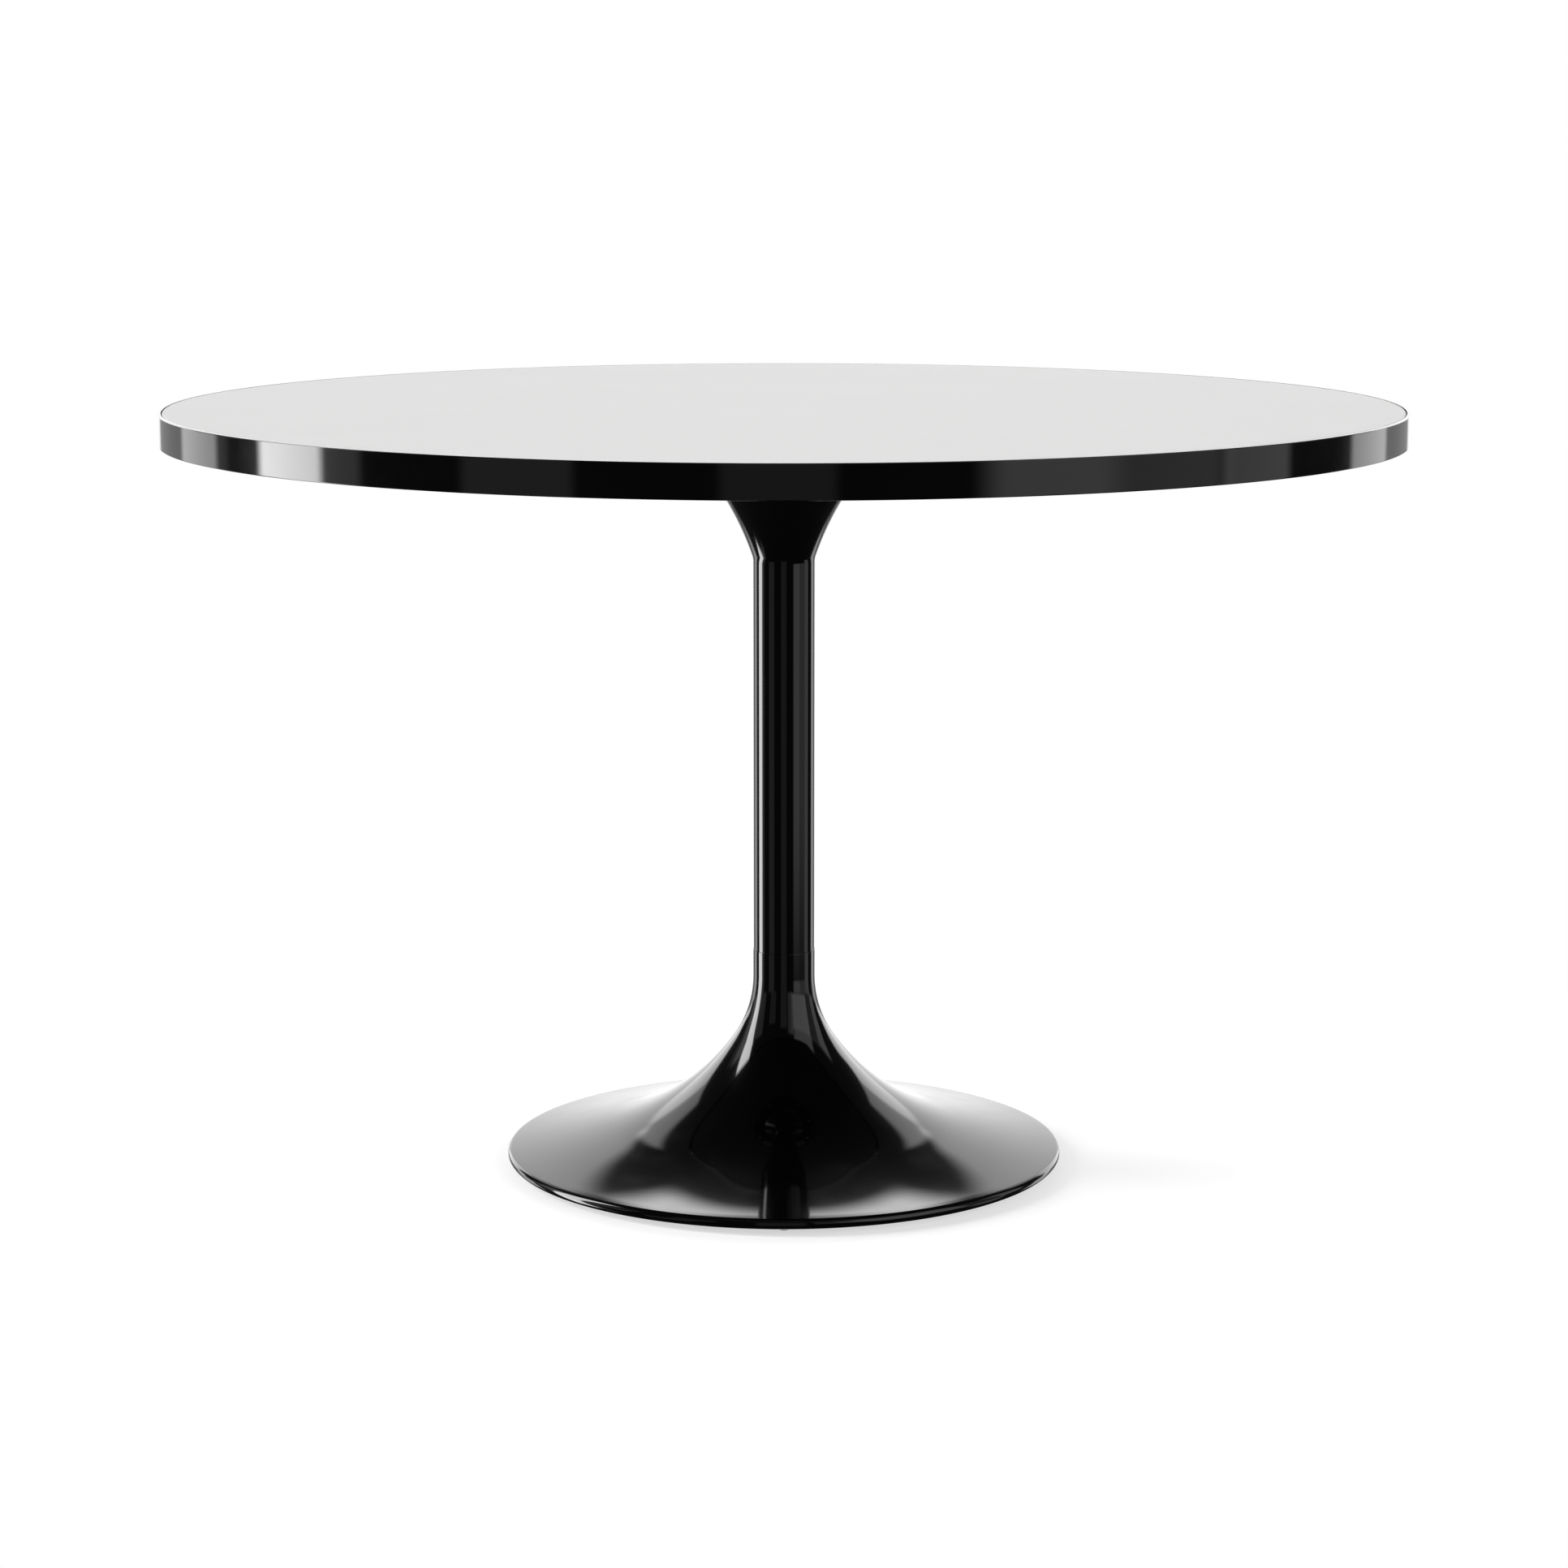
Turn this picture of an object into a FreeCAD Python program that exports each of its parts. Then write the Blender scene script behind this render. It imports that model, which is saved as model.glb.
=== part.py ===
import FreeCAD, Part
import Sketcher
import math
import os
import re

# Round pedestal table: a laminate-faced board in a steel edge band, carried by a slim steel column
# that flares out under the top and stands on a wide spun base with a rolled rim.
# One threaded rod pulls flare, column, base shell and the iron weight inside the base together.
# Four glides under the weight level the table.
# Millimetres; the origin is on the floor under the column's axis and +Z is up.

Vector = FreeCAD.Vector
document = FreeCAD.newDocument("PedestalTable")
sheet = document.addObject("Spreadsheet::Sheet", "Dims")

DIMENSIONS = (
    ("table_height", 752.0, "floor to the laminate's face"),
    ("top_diameter", 1200.0, "over the edge band"),
    ("band_height", 31.0, "edge band, lip included"),
    ("band_thickness", 3.5, "edge band's wall"),
    ("band_edge_radius", 0.8, "rounding of the band's lower outer edge"),
    ("lip_thickness", 3.0, "inward lip that carries the board"),
    ("lip_reach", 18.5, "lip, measured inward from the band's wall"),
    ("shadow_gap", 1.0, "between the band and the laminate"),
    ("face_thickness", 1.2, "laminate on top of the board"),
    ("face_bevel", 0.9, "pale bevel round the laminate"),
    ("backing_thickness", 0.8, "balance laminate under the board"),
    ("screw_inset", 13.0, "band screws, inward from the band's outside"),
    ("screw_count", 12, "band screws"),
    ("screw_shank", 4.0, "band screw shank diameter"),
    ("screw_head", 7.6, "band screw head diameter"),
    ("screw_length", 18.0, "band screw overall length"),
    ("screw_socket", 2.6, "band screw socket across flats"),
    ("screw_tip", 1.0, "band screw's flat tip, radius"),
    ("thread_clearance", 0.05, "radial gap left between each thread's two sides"),
    ("plate_diameter", 340.0, "mounting plate"),
    ("plate_thickness", 6.0, "mounting plate"),
    ("bolt_circle", 300.0, "plate screws' pitch circle"),
    ("bolt_count", 8, "plate screws"),
    ("bolt_size", 6.0, "plate screw thread diameter"),
    ("bolt_hole", 7.0, "clearance hole in the plate"),
    ("bolt_depth", 14.0, "plate screw reach above the plate"),
    ("bolt_head", 10.5, "plate screw head diameter"),
    ("bolt_head_height", 3.3, "plate screw head height"),
    ("bolt_socket", 4.0, "plate screw socket across flats"),
    ("bolt_socket_depth", 2.0, "plate screw socket"),
    ("bolt_head_chamfer", 1.0, "plate screw head"),
    ("washer_diameter", 12.5, "plate washer"),
    ("washer_thickness", 1.6, "plate washer"),
    ("insert_diameter", 10.0, "threaded insert"),
    ("insert_length", 15.0, "threaded insert"),
    ("hub_diameter", 42.0, "rod hub welded under the plate"),
    ("hub_length", 26.0, "rod hub"),
    ("rod_size", 12.0, "tie rod thread diameter"),
    ("rod_top_gap", 4.0, "between the rod's end and the mounting plate"),
    ("rod_chamfer", 1.5, "tie rod ends"),
    ("nut_flats", 18.0, "rod nuts across flats"),
    ("nut_height", 10.0, "rod nuts"),
    ("column_diameter", 60.5, "column tube"),
    ("column_wall", 3.0, "column tube and flare"),
    ("flare_height", 118.0, "flare, from its seam to the mounting plate"),
    ("flare_knee_radius", 17.6, "tight curve just above the flare's seam"),
    ("flare_knee_turn", 19.3, "degrees turned by the tight curve"),
    ("flare_radius", 280.5, "long curve up to the plate"),
    ("sleeve_length", 60.0, "joint sleeves, half in each tube"),
    ("sleeve_wall", 4.0, "joint sleeves"),
    ("sleeve_clearance", 0.1, "radial, between a sleeve and its tubes"),
    ("base_diameter", 552.0, "over the rolled rim"),
    ("base_height", 214.0, "floor to the seam at the top of the base's neck"),
    ("neck_step", 0.5, "base neck, proud of the column all round"),
    ("neck_length", 26.5, "straight part of the neck"),
    ("neck_radius_upper", 106.3, "first curve below the neck"),
    ("neck_turn_upper", 34.95, "degrees turned by the first curve"),
    ("bell_radius", 232.4, "second curve"),
    ("flange_radius", 895.0, "shallow curve from the second one out to the rim"),
    ("shell_wall", 3.5, "base shell"),
    ("rim_radius", 5.3, "rolled rim's outer radius"),
    ("rim_gap", 5.1, "floor to the rolled rim"),
    ("hem_reach", 5.0, "rim's inward hem"),
    ("weight_gap", 0.8, "between the iron weight and the shell"),
    ("weight_inset", 14.0, "weight's edge, inward from the rim's outside"),
    ("weight_thickness", 14.6, "weight's flat ring"),
    ("weight_hub_diameter", 60.0, "flat on top of the weight's hub"),
    ("weight_hub_wall", 10.0, "iron round the recess under the hub"),
    ("weight_hub_top", 48.0, "floor to the hub's top face"),
    ("recess_diameter", 100.0, "recess under the hub"),
    ("recess_height", 24.0, "floor to the recess's ceiling"),
    ("recess_taper", 8.0, "draft of the recess's side, as a difference of radius"),
    ("rod_hole", 13.0, "tie rod's hole in the weight"),
    ("big_washer_diameter", 37.0, "washer under the weight"),
    ("big_washer_thickness", 3.0, "washer under the weight"),
    ("lock_washer_diameter", 21.0, "split washer on the tie rod"),
    ("lock_washer_thickness", 2.5, "split washer"),
    ("lock_washer_slot", 2.0, "split washer's cut"),
    ("rod_tail", 2.0, "tie rod past its nut"),
    ("foot_circle", 504.0, "glides' pitch circle"),
    ("cap_diameter", 17.0, "glide cap"),
    ("cap_height", 7.0, "glide cap"),
    ("cap_rounding", 4.6, "glide cap's domed edge"),
    ("cap_floor", 2.2, "glide cap's sole"),
    ("cap_lip", 1.2, "glide cap's lip over the stem's head"),
    ("cap_play", 0.06, "gap round the stem's head inside the cap"),
    ("foot_gap", 0.4, "between a glide cap and the weight"),
    ("stem_size", 8.0, "glide stem thread diameter"),
    ("stem_head", 11.0, "glide stem's round head"),
    ("stem_chamfer", 1.0, "glide stem's tip"),
    ("stem_reach", 10.4, "glide stem and the shell's wall over it, above the weight's underside"),
)

FEET = (("front", -90), ("right", 0), ("back", 90), ("left", 180))

LEAST_CUT = 1e-3    # cubic millimetres that any real cut takes away
SAME_PLACE = 1e-4   # millimetres within which two places are one

# Heights from the floor that several pieces share.
BAND_BOTTOM = "table_height - band_height"
TOP_UNDERSIDE = "table_height - band_height + lip_thickness"
CORE_BOTTOM = TOP_UNDERSIDE + " + backing_thickness"
PLATE_BOTTOM = TOP_UNDERSIDE + " - plate_thickness"
FLARE_SEAM = PLATE_BOTTOM + " - flare_height"
HUB_BOTTOM = PLATE_BOTTOM + " - hub_length"
WEIGHT_BOTTOM = "cap_height + foot_gap"
NUT_BOTTOM = "recess_height - big_washer_thickness - lock_washer_thickness - nut_height"
COLUMN_BORE = "column_diameter / 2 - column_wall"
NECK_RADIUS = "column_diameter / 2 + neck_step"
NECK_BORE = NECK_RADIUS + " - shell_wall"
BOARD_RADIUS = "top_diameter / 2 - band_thickness - shadow_gap"
SCREW_CIRCLE = "top_diameter / 2 - screw_inset"


def fill_sheet():
    """Write each driving dimension into its own named cell."""
    for row, (name, size, note) in enumerate(DIMENSIONS, start=1):
        sheet.set("A%d" % row, name)
        sheet.set("B%d" % row, str(size))
        sheet.set("C%d" % row, note)
        sheet.setAlias("B%d" % row, name)
    document.recompute()


def bound(formula):
    """Turn a formula of dimension names into one that reads the sheet's cells."""
    return re.sub(r"\b[a-z]+_[a-z_]+\b", lambda name: "Dims." + name.group(), formula)


def value(formula):
    """Work a formula of dimension names out as a number."""
    return float(sheet.evalExpression(bound(formula)))


def tie(item, field, formula):
    """Bind a property to a formula of the dimensions."""
    item.setExpression(field, bound(formula))


# ---------------------------------------------------------------- sketching

def new_body(label, height="0", radius="0", angle=0):
    """Start a body that sits at a height, and at a radius and angle from the table's axis."""
    body = document.addObject("PartDesign::Body", label)
    body.Label = label
    tie(body, "Placement.Base.z", height)
    if radius != "0":
        tie(body, "Placement.Base.x", "(%s) * cos(%d)" % (radius, angle))
        tie(body, "Placement.Base.y", "(%s) * sin(%d)" % (radius, angle))
        body.Placement.Rotation = FreeCAD.Rotation(Vector(0, 0, 1), angle)
    return body


def new_sketch(body, name, role, height="0"):
    """Attach a sketch to one of the body's own origin planes, raised by a height."""
    plane = [item for item in body.Origin.OriginFeatures if item.Role == role][0]
    sketch = body.newObject("Sketcher::SketchObject", name)
    sketch.AttachmentSupport = (plane, [""])
    sketch.MapMode = "FlatFace"
    if height != "0":
        tie(sketch, "AttachmentOffset.Base.z", height)
    return sketch


def dimension(sketch, kind, items, formula):
    """Add a dimension to a sketch and bind it to a formula."""
    index = sketch.addConstraint(Sketcher.Constraint(kind, *items, value(formula)))
    tie(sketch, "Constraints[%d]" % index, formula)


def pin(sketch, edge, end, across, up):
    """Hold one end of an edge at a place given by two formulas."""
    for kind, axis, formula in (("DistanceX", -2, across), ("DistanceY", -1, up)):
        if formula == "0":
            sketch.addConstraint(Sketcher.Constraint("PointOnObject", edge, end, axis))
        else:
            dimension(sketch, kind, (-1, 1, edge, end), formula)


def polygon(sketch, corners):
    """Draw a closed outline with every corner held by formulas."""
    points = [Vector(value(across), value(up), 0) for across, up in corners]
    edges = []
    for start, end in zip(points, points[1:] + points[:1]):
        edges.append(sketch.addGeometry(Part.LineSegment(start, end), False))
    for edge, following in zip(edges, edges[1:] + edges[:1]):
        sketch.addConstraint(Sketcher.Constraint("Coincident", edge, 2, following, 1))
    for edge, (across, up) in zip(edges, corners):
        pin(sketch, edge, 1, across, up)


def circle(sketch, radius, across="0"):
    """Draw a circle centred on the sketch's horizontal axis."""
    centre = Vector(value(across), 0, 0)
    edge = sketch.addGeometry(Part.Circle(centre, Vector(0, 0, 1), value(radius)), False)
    pin(sketch, edge, 3, across, "0")
    dimension(sketch, "Radius", (edge,), radius)


def hexagon(sketch, flats):
    """Draw a hexagon about the sketch's origin from its size across flats."""
    half = "(%s) / 2" % flats
    point = "(%s) / sqrt(3)" % flats
    side = "(%s) / sqrt(3) / 2" % flats
    polygon(sketch, (("0", point), ("-%s" % half, side), ("-%s" % half, "-%s" % side),
                     ("0", "-%s" % point), (half, "-%s" % side), (half, side)))


def arc(sketch, centre, radius, start, end, construction=False):
    """Draw an arc between two angles in radians, anticlockwise."""
    whole = Part.Circle(centre, Vector(0, 0, 1), radius)
    return sketch.addGeometry(Part.ArcOfCircle(whole, start, end), construction)


def join(sketch, first, first_end, second, second_end):
    """Close a gap between two edges' ends with a straight edge."""
    start = sketch.getPoint(first, first_end)
    end = sketch.getPoint(second, second_end)
    edge = sketch.addGeometry(Part.LineSegment(start, end), False)
    sketch.addConstraint(Sketcher.Constraint("Coincident", edge, 1, first, first_end))
    sketch.addConstraint(Sketcher.Constraint("Coincident", edge, 2, second, second_end))
    return edge


# ---------------------------------------------------------------- features

def turn(body, sketch):
    """Turn an outline about the sketch's vertical axis."""
    feature = body.newObject("PartDesign::Revolution", sketch.Name + "_turned")
    feature.Profile = sketch
    feature.ReferenceAxis = (sketch, ["V_Axis"])
    feature.Angle = 360
    document.recompute()
    return feature


def pad(body, sketch, length):
    """Raise a sketch into a solid."""
    feature = body.newObject("PartDesign::Pad", sketch.Name + "_padded")
    feature.Profile = sketch
    tie(feature, "Length", length)
    document.recompute()
    return feature


def pocket(body, sketch, depth):
    """Cut a sketch upwards into the body, from the sketch's own height."""
    before = body.Shape.Volume
    feature = body.newObject("PartDesign::Pocket", sketch.Name + "_cut")
    feature.Profile = sketch
    feature.Reversed = True
    tie(feature, "Length", depth)
    document.recompute()
    require_less(body, before)
    return feature


def repeat(body, feature, count):
    """Repeat a cut evenly round the body's own vertical axis."""
    before = body.Shape.Volume
    axis = [item for item in body.Origin.OriginFeatures if item.Role == "Z_Axis"][0]
    pattern = body.newObject("PartDesign::PolarPattern", feature.Name + "_ring")
    pattern.Originals = [feature]
    pattern.Axis = (axis, [""])
    pattern.Angle = 360
    tie(pattern, "Occurrences", count)
    body.Tip = pattern
    document.recompute()
    require_less(body, before)


def require_less(body, before):
    """Stop if a cut removed nothing."""
    if body.Shape.Volume > before - LEAST_CUT:
        raise RuntimeError("a cut in %s removed nothing" % body.Label)


def edges_at(feature, radius, height):
    """Name the circular edges of a feature that have a radius and a height."""
    names = []
    for index, edge in enumerate(feature.Shape.Edges, start=1):
        if not isinstance(edge.Curve, Part.Circle):
            continue
        same_radius = abs(edge.Curve.Radius - radius) < SAME_PLACE
        same_height = abs(edge.Curve.Center.z - height) < SAME_PLACE
        if same_radius and same_height:
            names.append("Edge%d" % index)
    return names


def dress(body, kind, radius, height, field, size):
    """Fillet or chamfer the body's circular edges of one radius and height."""
    before = body.Tip
    feature = body.newObject("PartDesign::" + kind, "%s_%s" % (body.Name, field.lower()))
    feature.Base = (before, edges_at(before, value(radius), value(height)))
    tie(feature, field, size)
    body.Tip = feature
    document.recompute()


def turned(label, corners, height="0", radius="0", angle=0):
    """Make a round piece from an outline of (radius, height) corners."""
    body = new_body(label, height, radius, angle)
    sketch = new_sketch(body, label + "_outline", "XZ_Plane")
    polygon(sketch, corners)
    turn(body, sketch)
    return body


def ring(label, outer, inner, length, height):
    """Make a plain ring or tube from two circles."""
    body = new_body(label, height)
    sketch = new_sketch(body, label + "_section", "XY_Plane")
    circle(sketch, outer)
    circle(sketch, inner)
    pad(body, sketch, length)
    return body


def drill(body, name, circle_radius, hole_radius, depth, count):
    """Drill evenly spaced holes upwards from the body's underside."""
    sketch = new_sketch(body, name, "XY_Plane")
    circle(sketch, hole_radius, circle_radius)
    repeat(body, pocket(body, sketch, depth), count)


def copies(label, pattern, count, radius, height):
    """Make one node of separate equal solids set evenly round the table's axis."""
    solids = []
    for index in range(int(value(count))):
        turned_by = 360.0 * index / value(count)
        swing = FreeCAD.Rotation(Vector(0, 0, 1), turned_by)
        solid = pattern.Shape.copy()
        solid.Placement = FreeCAD.Placement(swing.multVec(Vector(value(radius), 0, 0)), swing)
        solids.append(solid)
    group = document.addObject("Part::Feature", label)
    group.Label = label
    group.Shape = Part.makeCompound(solids)
    group.Placement = FreeCAD.Placement(Vector(0, 0, value(height)), FreeCAD.Rotation())
    return group


# ---------------------------------------------------------------- table top

def make_edge_band():
    """Steel band rolled round the board, with an inward lip drilled for countersunk screws."""
    outer = "top_diameter / 2"
    wall = "top_diameter / 2 - band_thickness"
    lip = wall + " - lip_reach"
    body = turned("edge_band", ((outer, "0"), (outer, "band_height"), (wall, "band_height"),
                                (wall, "lip_thickness"), (lip, "lip_thickness"), (lip, "0")),
                  BAND_BOTTOM)
    dress(body, "Fillet", outer, "0", "Radius", "band_edge_radius")
    sketch = new_sketch(body, "countersink", "XZ_Plane")
    head = SCREW_CIRCLE + " + screw_head / 2 + thread_clearance"
    hole = SCREW_CIRCLE + " + screw_shank / 2 + thread_clearance"
    slope = "(screw_head - screw_shank) / 2"
    foot = Vector(value(SCREW_CIRCLE), 0, 0)
    tip = Vector(value(SCREW_CIRCLE), value("lip_thickness"), 0)
    axis = sketch.addGeometry(Part.LineSegment(foot, tip), True)
    pin(sketch, axis, 1, SCREW_CIRCLE, "0")
    pin(sketch, axis, 2, SCREW_CIRCLE, "lip_thickness")
    polygon(sketch, ((SCREW_CIRCLE, "0"), (head, "0"), (hole, slope), (hole, "lip_thickness"),
                     (SCREW_CIRCLE, "lip_thickness")))
    before = body.Shape.Volume
    groove = body.newObject("PartDesign::Groove", "countersunk_hole")
    groove.Profile = sketch
    groove.ReferenceAxis = (sketch, ["Axis0"])
    groove.Angle = 360
    document.recompute()
    require_less(body, before)
    repeat(body, groove, "screw_count")
    return body


def make_board():
    """Board, its white laminate face and its backing sheet, drilled for screws and inserts."""
    face = new_body("top_face", "table_height - face_thickness")
    sketch = new_sketch(face, "top_face_section", "XY_Plane")
    circle(sketch, BOARD_RADIUS)
    pad(face, sketch, "face_thickness")
    dress(face, "Chamfer", BOARD_RADIUS, "face_thickness", "Size", "face_bevel")

    backing = new_body("backing_sheet", TOP_UNDERSIDE)
    sketch = new_sketch(backing, "backing_section", "XY_Plane")
    circle(sketch, BOARD_RADIUS)
    pad(backing, sketch, "backing_thickness")

    core = new_body("top_core", CORE_BOTTOM)
    sketch = new_sketch(core, "core_section", "XY_Plane")
    circle(sketch, BOARD_RADIUS)
    pad(core, sketch, "band_height - lip_thickness - backing_thickness - face_thickness")

    insert = "insert_diameter / 2 + thread_clearance"
    pilot = "screw_shank / 2 + thread_clearance"
    drill(backing, "backing_insert_hole", "bolt_circle / 2", insert, "backing_thickness", "bolt_count")
    drill(backing, "backing_pilot_hole", SCREW_CIRCLE, pilot, "backing_thickness", "screw_count")
    drill(core, "insert_hole", "bolt_circle / 2", insert, "insert_length", "bolt_count")
    drill(core, "pilot_hole", SCREW_CIRCLE, pilot, "screw_length - lip_thickness", "screw_count")
    return [face, backing, core]


def make_band_screws():
    """Countersunk wood screws that hold the band's lip to the board."""
    shank = "screw_shank / 2"
    slope = "(screw_head - screw_shank) / 2"
    screw = turned("band_screw", (("0", "0"), ("screw_head / 2", "0"), (shank, slope),
                                  (shank, "screw_length - screw_shank"), ("screw_tip", "screw_length"),
                                   ("0", "screw_length")))
    sketch = new_sketch(screw, "band_screw_socket", "XY_Plane")
    hexagon(sketch, "screw_socket")
    pocket(screw, sketch, slope)
    return copies("band_screws", screw, "screw_count", SCREW_CIRCLE, BAND_BOTTOM)


def make_fixings():
    """Inserts in the board, and the screws and washers that hold the mounting plate to them."""
    bore = "bolt_size / 2 + thread_clearance"
    insert = ring("threaded_insert", "insert_diameter / 2", bore, "insert_length", "0")
    inserts = copies("threaded_inserts", insert, "bolt_count", "bolt_circle / 2", TOP_UNDERSIDE)

    washer = ring("plate_washer", "washer_diameter / 2", bore, "washer_thickness", "0")
    washers = copies("plate_washers", washer, "bolt_count", "bolt_circle / 2",
                     PLATE_BOTTOM + " - washer_thickness")

    head = "bolt_head / 2"
    reach = "bolt_head_height + washer_thickness + plate_thickness + bolt_depth"
    screw = turned("plate_screw", (("0", "0"), (head + " - bolt_head_chamfer", "0"),
                                   (head, "bolt_head_chamfer"), (head, "bolt_head_height"),
                                   ("bolt_size / 2", "bolt_head_height"),
                                   ("bolt_size / 2", reach), ("0", reach)))
    sketch = new_sketch(screw, "plate_screw_socket", "XY_Plane")
    hexagon(sketch, "bolt_socket")
    pocket(screw, sketch, "bolt_socket_depth")
    screws = copies("plate_screws", screw, "bolt_count", "bolt_circle / 2",
                    PLATE_BOTTOM + " - washer_thickness - bolt_head_height")
    return [inserts, washers, screws]


def make_top_plate():
    """Round mounting plate with its screw holes, and the threaded hub welded under it."""
    plate = new_body("top_plate", PLATE_BOTTOM)
    sketch = new_sketch(plate, "top_plate_section", "XY_Plane")
    circle(sketch, "plate_diameter / 2")
    pad(plate, sketch, "plate_thickness")
    drill(plate, "plate_hole", "bolt_circle / 2", "bolt_hole / 2", "plate_thickness", "bolt_count")

    hub = ring("top_hub", "hub_diameter / 2", "rod_size / 2 + thread_clearance", "hub_length", HUB_BOTTOM)
    return [plate, hub]


# ---------------------------------------------------------------- pedestal

def make_upper_flare():
    """Spun flare: a tight curve off the column, then a long one out to the mounting plate."""
    body = new_body("upper_flare", FLARE_SEAM)
    sketch = new_sketch(body, "flare_outline", "XZ_Plane")
    outside = flare_curves(sketch, "0")
    inside = flare_curves(sketch, "column_wall")
    join(sketch, outside[0], 2, inside[0], 2)
    join(sketch, outside[1], 1, inside[1], 1)
    turn(body, sketch)
    return body


def flare_curves(sketch, offset):
    """Draw one side of the flare's wall as two tangent arcs, set inwards by an offset."""
    knee = "(flare_knee_radius + %s)" % offset
    sweep = "(flare_radius + %s)" % offset
    seam = "column_diameter / 2 - %s" % offset
    turn_by = math.radians(value("flare_knee_turn"))
    knee_centre = Vector(value(seam) + value(knee), 0, 0)
    shift = value(sweep) - value(knee)
    sweep_centre = knee_centre + Vector(math.cos(turn_by), -math.sin(turn_by), 0) * shift
    top_turn = math.asin((value("flare_height") - sweep_centre.y) / value(sweep))
    lower = arc(sketch, knee_centre, value(knee), math.pi - turn_by, math.pi)
    upper = arc(sketch, sweep_centre, value(sweep), math.pi - top_turn, math.pi - turn_by)
    pin(sketch, lower, 2, seam, "0")
    pin(sketch, lower, 3, "%s + %s" % (seam, knee), "0")
    sketch.addConstraint(Sketcher.Constraint("Tangent", lower, 1, upper, 2))
    dimension(sketch, "DistanceY", (-1, 1, lower, 1), "%s * sin(flare_knee_turn)" % knee)
    dimension(sketch, "Radius", (upper,), sweep)
    dimension(sketch, "DistanceY", (-1, 1, upper, 1), "flare_height")
    return lower, upper


def base_curves(sketch, offset, construction=False):
    """Draw one side of the base shell, set inwards by an offset, from the neck to the rolled rim.

    The chain is the straight neck, three tangent arcs that grow shallower, and the rim's roll.
    It returns the neck, the shallow flange and the roll.
    """
    neck = "(%s - %s)" % (NECK_RADIUS, offset)
    upper = "(neck_radius_upper + %s)" % offset
    bell = "(bell_radius + %s)" % offset
    flange = "(flange_radius + %s)" % offset
    roll = "(rim_radius - %s)" % offset
    neck_end = "base_height - neck_length"
    turn_by = math.radians(value("neck_turn_upper"))
    upper_centre = Vector(value(neck) + value(upper), value(neck_end), 0)
    shift = value(bell) - value(upper)
    bell_centre = upper_centre + Vector(math.cos(turn_by), math.sin(turn_by), 0) * shift
    roll_centre = Vector(value("base_diameter / 2 - rim_radius"), value("rim_gap + rim_radius"), 0)
    flange_centre = tangent_centre(bell_centre, value(flange) - value(bell),
                                   roll_centre, value(flange) + value(roll))
    out = flange_centre - bell_centre
    flange_start = math.pi + math.atan2(out.y, out.x)
    back = flange_centre - roll_centre
    roll_end = math.atan2(back.y, back.x)

    top = Vector(value(neck), value("base_height"), 0)
    line_end = Vector(value(neck), value(neck_end), 0)
    straight = sketch.addGeometry(Part.LineSegment(top, line_end), construction)
    first = arc(sketch, upper_centre, value(upper), math.pi, math.pi + turn_by, construction)
    second = arc(sketch, bell_centre, value(bell), math.pi + turn_by, flange_start, construction)
    third = arc(sketch, flange_centre, value(flange), flange_start, math.pi + roll_end, construction)
    rim = arc(sketch, roll_centre, value(roll), -math.pi / 2, roll_end, construction)

    pin(sketch, straight, 1, neck, "base_height")
    pin(sketch, straight, 2, neck, neck_end)
    sketch.addConstraint(Sketcher.Constraint("Tangent", straight, 2, first, 1))
    dimension(sketch, "Radius", (first,), upper)
    dimension(sketch, "DistanceY", (first, 2, first, 1), "%s * sin(neck_turn_upper)" % upper)
    sketch.addConstraint(Sketcher.Constraint("Tangent", first, 2, second, 1))
    dimension(sketch, "Radius", (second,), bell)
    sketch.addConstraint(Sketcher.Constraint("Tangent", second, 2, third, 1))
    dimension(sketch, "Radius", (third,), flange)
    sketch.addConstraint(Sketcher.Constraint("Tangent", third, 2, rim, 2))
    pin(sketch, rim, 3, "base_diameter / 2 - rim_radius", "rim_gap + rim_radius")
    pin(sketch, rim, 1, "base_diameter / 2 - rim_radius", "rim_gap + %s" % offset)
    return straight, third, rim


def tangent_centre(first, first_radius, second, second_radius):
    """Find the point at two distances from two centres, on the side away from the table's axis."""
    between = second - first
    apart = between.Length
    along = (first_radius ** 2 - second_radius ** 2 + apart ** 2) / (2 * apart)
    aside = math.sqrt(first_radius ** 2 - along ** 2)
    unit = between / apart
    return first + unit * along + Vector(-unit.y, unit.x, 0) * aside


def make_base_shell():
    """Spun base: collar neck, bell curves, shallow flange, and a rim rolled in to a short hem."""
    body = new_body("base_shell")
    sketch = new_sketch(body, "base_outline", "XZ_Plane")
    outside = base_curves(sketch, "0")
    inside = base_curves(sketch, "shell_wall")
    join(sketch, outside[0], 1, inside[0], 1)
    hem = "base_diameter / 2 - rim_radius - hem_reach"
    low = sketch.addGeometry(Part.LineSegment(
        sketch.getPoint(outside[2], 1), Vector(value(hem), value("rim_gap"), 0)), False)
    high = sketch.addGeometry(Part.LineSegment(
        sketch.getPoint(inside[2], 1), Vector(value(hem), value("rim_gap + shell_wall"), 0)), False)
    sketch.addConstraint(Sketcher.Constraint("Coincident", low, 1, outside[2], 1))
    sketch.addConstraint(Sketcher.Constraint("Coincident", high, 1, inside[2], 1))
    pin(sketch, low, 2, hem, "rim_gap")
    pin(sketch, high, 2, hem, "rim_gap + shell_wall")
    join(sketch, low, 2, high, 2)
    turn(body, sketch)
    return body


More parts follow.
